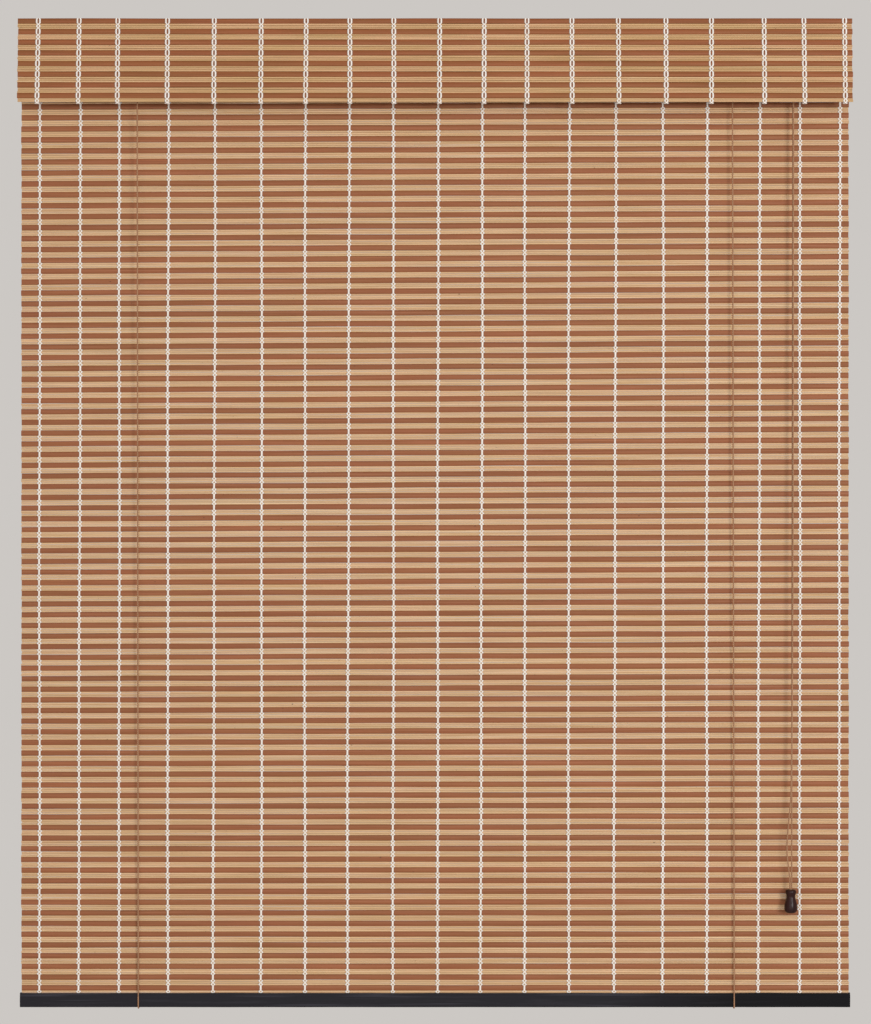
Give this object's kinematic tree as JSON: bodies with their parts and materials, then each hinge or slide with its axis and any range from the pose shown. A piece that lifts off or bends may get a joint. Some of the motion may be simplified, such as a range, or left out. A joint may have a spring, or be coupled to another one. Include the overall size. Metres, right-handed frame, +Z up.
{
  "type": "bamboo roll up blind",
  "caption": "Woven bamboo roll up blind on a wooden headrail, with a valance, corded pulleys, a cord lock, an acorn tassel and a cloth-bound bottom rail.",
  "frame": {"origin": "middle of the headrail's top face, where the blind is screwed up", "axes": "+X to the right along the slats, -Y towards the room, +Z up"},
  "size_m": [1.0022, 0.0392, 1.1915],
  "materials": {
    "headrail_wood": "planed softwood",
    "bamboo": "stained slats and natural sticks, dry satin",
    "cotton_thread": "off-white twisted cotton",
    "bar_wood": "planed softwood",
    "hem_cloth": "black woven cloth with creases",
    "plated_steel": "zinc-plated sheet",
    "axle_steel": "drawn steel pin",
    "pulley_nylon": "natural nylon",
    "lock_brass": "plain turned brass",
    "staple_wire": "galvanised wire",
    "brown_cord": "braided polyester, light brown",
    "tassel_wood": "turned wood, dark gloss stain"
  },
  "bodies": {
    "blind": {"headrail": "headrail_wood", "mat": "bamboo", "mat_warp_threads": "cotton_thread", "valance": "bamboo", "valance_warp_threads": "cotton_thread", "left_pulley_frame": "plated_steel", "left_pulley_axle": "axle_steel", "right_pulley_frame": "plated_steel", "right_pulley_axle": "axle_steel", "cord_lock_frame": "plated_steel", "cord_lock_roller_pin": "axle_steel", "cord_lock_cam_pin": "axle_steel", "cord_lock_screws": "axle_steel", "mat_staples": "staple_wire", "cord_staples": "staple_wire", "left_lift_cord": "brown_cord", "right_lift_cord": "brown_cord", "front_pull_cord": "brown_cord", "rear_pull_cord": "brown_cord"},
    "bottom_rail": {"bottom_bar": "bar_wood", "bottom_hem": "hem_cloth"},
    "left_wheel": {"left_pulley_wheel": "pulley_nylon"},
    "right_front_wheel": {"right_pulley_front_wheel": "pulley_nylon"},
    "right_rear_wheel": {"right_pulley_rear_wheel": "pulley_nylon"},
    "lock_roller": {"cord_lock_roller": "lock_brass"},
    "lock_cam": {"cord_lock_cam": "lock_brass"},
    "pull_tassel": {"tassel": "tassel_wood", "tassel_knot": "brown_cord"}
  },
  "joints": [
    {"name": "lift", "type": "slide", "parent": "blind", "child": "bottom_rail", "axis": [0, 0, 1], "range_m": [0, 0.975], "deforming": ["mat", "mat_warp_threads", "left_lift_cord", "right_lift_cord"]},
    {"name": "tassel_drop", "type": "slide", "parent": "blind", "child": "pull_tassel", "axis": [0, 0, -1], "range_m": [0, 1.95], "deforming": ["front_pull_cord", "rear_pull_cord"]},
    {"name": "left_wheel_spin", "type": "hinge", "parent": "blind", "child": "left_wheel", "pos_m": [-0.35218, -0.00335, -0.042], "axis": [0, 1, 0], "range_deg": [0, 19250]},
    {"name": "right_front_wheel_spin", "type": "hinge", "parent": "blind", "child": "right_front_wheel", "pos_m": [0.36382, -0.00335, -0.042], "axis": [0, 1, 0], "range_deg": [0, 19250]},
    {"name": "right_rear_wheel_spin", "type": "hinge", "parent": "blind", "child": "right_rear_wheel", "pos_m": [0.36382, 0.00135, -0.042], "axis": [0, 1, 0], "range_deg": [0, 19250]},
    {"name": "lock_roller_spin", "type": "hinge", "parent": "blind", "child": "lock_roller", "pos_m": [0.42518, -0.001, -0.042], "axis": [0, 1, 0], "range_deg": [0, 19250]},
    {"name": "lock_cam_tilt", "type": "hinge", "parent": "blind", "child": "lock_cam", "pos_m": [0.44073, -0.001, -0.044], "axis": [0, -1, 0], "range_deg": [0, 25]}
  ],
  "couplings": [
    {"joint": "tassel_drop", "follows": "lift", "ratio": 2},
    {"joint": "left_wheel_spin", "follows": "lift", "rad_per_m": 343.73},
    {"joint": "right_front_wheel_spin", "follows": "lift", "rad_per_m": 343.73},
    {"joint": "right_rear_wheel_spin", "follows": "lift", "rad_per_m": 343.73},
    {"joint": "lock_roller_spin", "follows": "lift", "rad_per_m": 343.73}
  ]
}
